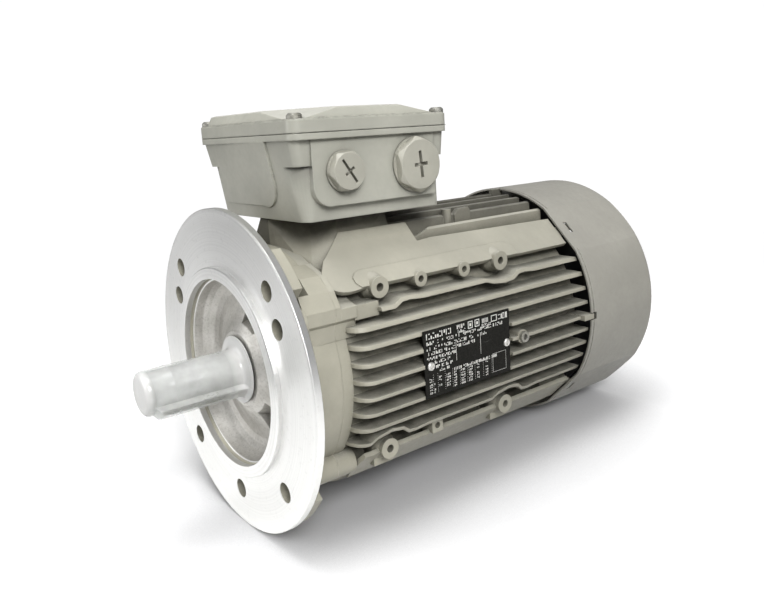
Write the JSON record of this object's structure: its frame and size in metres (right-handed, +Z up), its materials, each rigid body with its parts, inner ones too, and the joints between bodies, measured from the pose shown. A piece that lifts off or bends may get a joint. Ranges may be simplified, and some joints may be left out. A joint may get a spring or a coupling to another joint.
{
  "type": "electric motor",
  "caption": "Flange-mounted induction motor: finned aluminium housing, round flange with spigot, shaft end with keyway, top terminal box with blanking plugs, covered rear fan.",
  "frame": {"origin": "centre of the flange's mounting face, on the shaft axis", "axes": "-Y along the shaft end, away from the motor; +Y towards the fan; +Z up to the terminal box; +X towards the rating plate"},
  "size_m": [0.2, 0.367, 0.254],
  "materials": {
    "housing_paint": "satin cast aluminium, light grey-green coat",
    "flange_aluminium": "bare, machined on the face, as cast in the recess, painted behind",
    "box_paint": "satin coat on a casting",
    "cover_paint": "satin coat on sheet",
    "lamination_steel": "stacked laminations",
    "winding_copper": "enamelled copper, varnished",
    "bearing_steel": "ground",
    "brass": "turned",
    "fastener_steel": "zinc plated",
    "black_rubber": "matt",
    "shaft_steel": "ground, bright",
    "cast_aluminium": "as cast",
    "fan_plastic": "moulded",
    "plate_black": "printed sheet",
    "board_plastic": "moulded phenolic",
    "wire_insulation": "sleeved leads"
  },
  "bodies": {
    "stator": {"stator_frame": "housing_paint", "stator_core": "lamination_steel", "stator_winding": "winding_copper", "flange_shield": "flange_aluminium", "flange_shield_screws": "fastener_steel", "rear_shield": "housing_paint", "rear_shield_screws": "fastener_steel", "drive_bearing_outer_ring": "bearing_steel", "rear_bearing_outer_ring": "bearing_steel", "drive_bearing_circlip": "fastener_steel", "preload_washer": "fastener_steel", "shaft_seal": "black_rubber", "fan_cover": "cover_paint", "rating_plate": "plate_black", "rating_plate_rivets": "cast_aluminium", "terminal_box": "box_paint", "box_gasket": "black_rubber", "box_screws": "fastener_steel", "terminal_lid": "box_paint", "lid_gasket": "black_rubber", "lid_screws": "fastener_steel", "terminal_board": "board_plastic", "terminal_studs": "brass", "terminal_nuts": "brass", "terminal_links": "brass", "board_screws": "fastener_steel", "earth_clamp": "brass", "earth_screw": "fastener_steel", "plug_small": "box_paint", "plug_large": "box_paint", "plug_small_seal": "black_rubber", "plug_large_seal": "black_rubber", "lead_wires": "wire_insulation"},
    "rotor": {"shaft": "shaft_steel", "rotor_core": "lamination_steel", "rotor_cage": "cast_aluminium", "fan": "fan_plastic", "fan_circlip": "fastener_steel", "rear_v_ring": "black_rubber", "drive_bearing_inner_ring": "bearing_steel", "rear_bearing_inner_ring": "bearing_steel"},
    "drive_cage": {"drive_bearing_balls": "bearing_steel", "drive_bearing_cage": "brass"},
    "rear_cage": {"rear_bearing_balls": "bearing_steel", "rear_bearing_cage": "brass"}
  },
  "joints": [
    {"name": "rotor_spin", "type": "hinge", "parent": "stator", "child": "rotor", "pos_m": [0, 0, 0], "axis": [0, 1, 0], "continuous": true},
    {"name": "drive_cage_spin", "type": "hinge", "parent": "stator", "child": "drive_cage", "pos_m": [0, 0.0315, 0], "axis": [0, 1, 0], "continuous": true},
    {"name": "rear_cage_spin", "type": "hinge", "parent": "stator", "child": "rear_cage", "pos_m": [0, 0.2295, 0], "axis": [0, 1, 0], "continuous": true}
  ],
  "couplings": [
    {"joint": "drive_cage_spin", "follows": "rotor_spin", "ratio": 0.3969},
    {"joint": "rear_cage_spin", "follows": "rotor_spin", "ratio": 0.3969}
  ]
}
